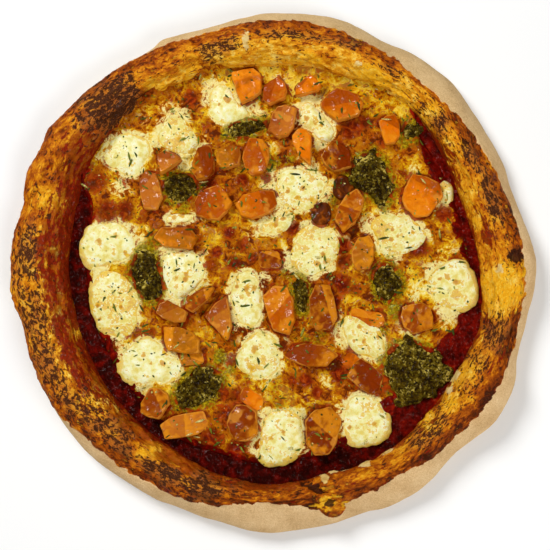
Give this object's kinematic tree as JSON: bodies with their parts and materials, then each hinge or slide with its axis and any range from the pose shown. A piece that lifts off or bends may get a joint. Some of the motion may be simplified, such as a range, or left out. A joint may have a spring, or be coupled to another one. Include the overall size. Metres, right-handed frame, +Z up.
{
  "type": "margherita pizza",
  "caption": "Round baked pizza with a puffed browned rim round tomato sauce, melted cheese, mozzarella slices, diced tomato, basil pesto and dried herbs.",
  "frame": {"origin": "on the table under the middle of the crust's box", "axes": "+Z up through the pizza, +Y towards the top of the picture, +X towards its right"},
  "size_m": [0.3014, 0.298, 0.0268],
  "materials": {
    "crust": "dry browned bread crust, floury and pale on its flank and underside",
    "sauce": "wet glossy dark red sauce",
    "cheese": "oily golden melted cheese with browned blisters",
    "mozzarella": "satin creamy white with toasted spots",
    "tomato": "moist orange-red cooked tomato",
    "pesto": "oily dark green chopped herbs"
  },
  "bodies": {
    "root": {"crust": "crust", "tomato_sauce": "sauce", "melted_cheese": "cheese", "tomato_01": "tomato", "tomato_02": "tomato", "tomato_03": "tomato", "tomato_04": "tomato", "tomato_05": "tomato", "tomato_06": "tomato", "tomato_07": "tomato", "tomato_08": "tomato", "tomato_09": "tomato", "tomato_10": "tomato", "tomato_11": "tomato", "tomato_12": "tomato", "tomato_13": "tomato", "tomato_14": "tomato", "tomato_15": "tomato", "tomato_16": "tomato", "tomato_17": "tomato", "tomato_18": "tomato", "tomato_19": "tomato", "tomato_20": "tomato", "tomato_21": "tomato", "tomato_22": "tomato", "tomato_23": "tomato", "tomato_24": "tomato", "tomato_25": "tomato", "tomato_26": "tomato", "tomato_27": "tomato", "tomato_28": "tomato", "tomato_29": "tomato", "tomato_30": "tomato", "tomato_31": "tomato", "tomato_32": "tomato", "pesto_1": "pesto", "pesto_2": "pesto", "pesto_3": "pesto", "pesto_4": "pesto", "pesto_5": "pesto", "pesto_6": "pesto", "pesto_7": "pesto", "pesto_8": "pesto", "mozzarella_01": "mozzarella", "mozzarella_02": "mozzarella", "mozzarella_03": "mozzarella", "mozzarella_04": "mozzarella", "mozzarella_05": "mozzarella", "mozzarella_06": "mozzarella", "mozzarella_07": "mozzarella", "mozzarella_08": "mozzarella", "mozzarella_09": "mozzarella", "mozzarella_10": "mozzarella", "mozzarella_11": "mozzarella", "mozzarella_12": "mozzarella", "mozzarella_13": "mozzarella", "mozzarella_14": "mozzarella", "mozzarella_15": "mozzarella", "mozzarella_16": "mozzarella", "mozzarella_17": "mozzarella"}
  },
  "joints": []
}
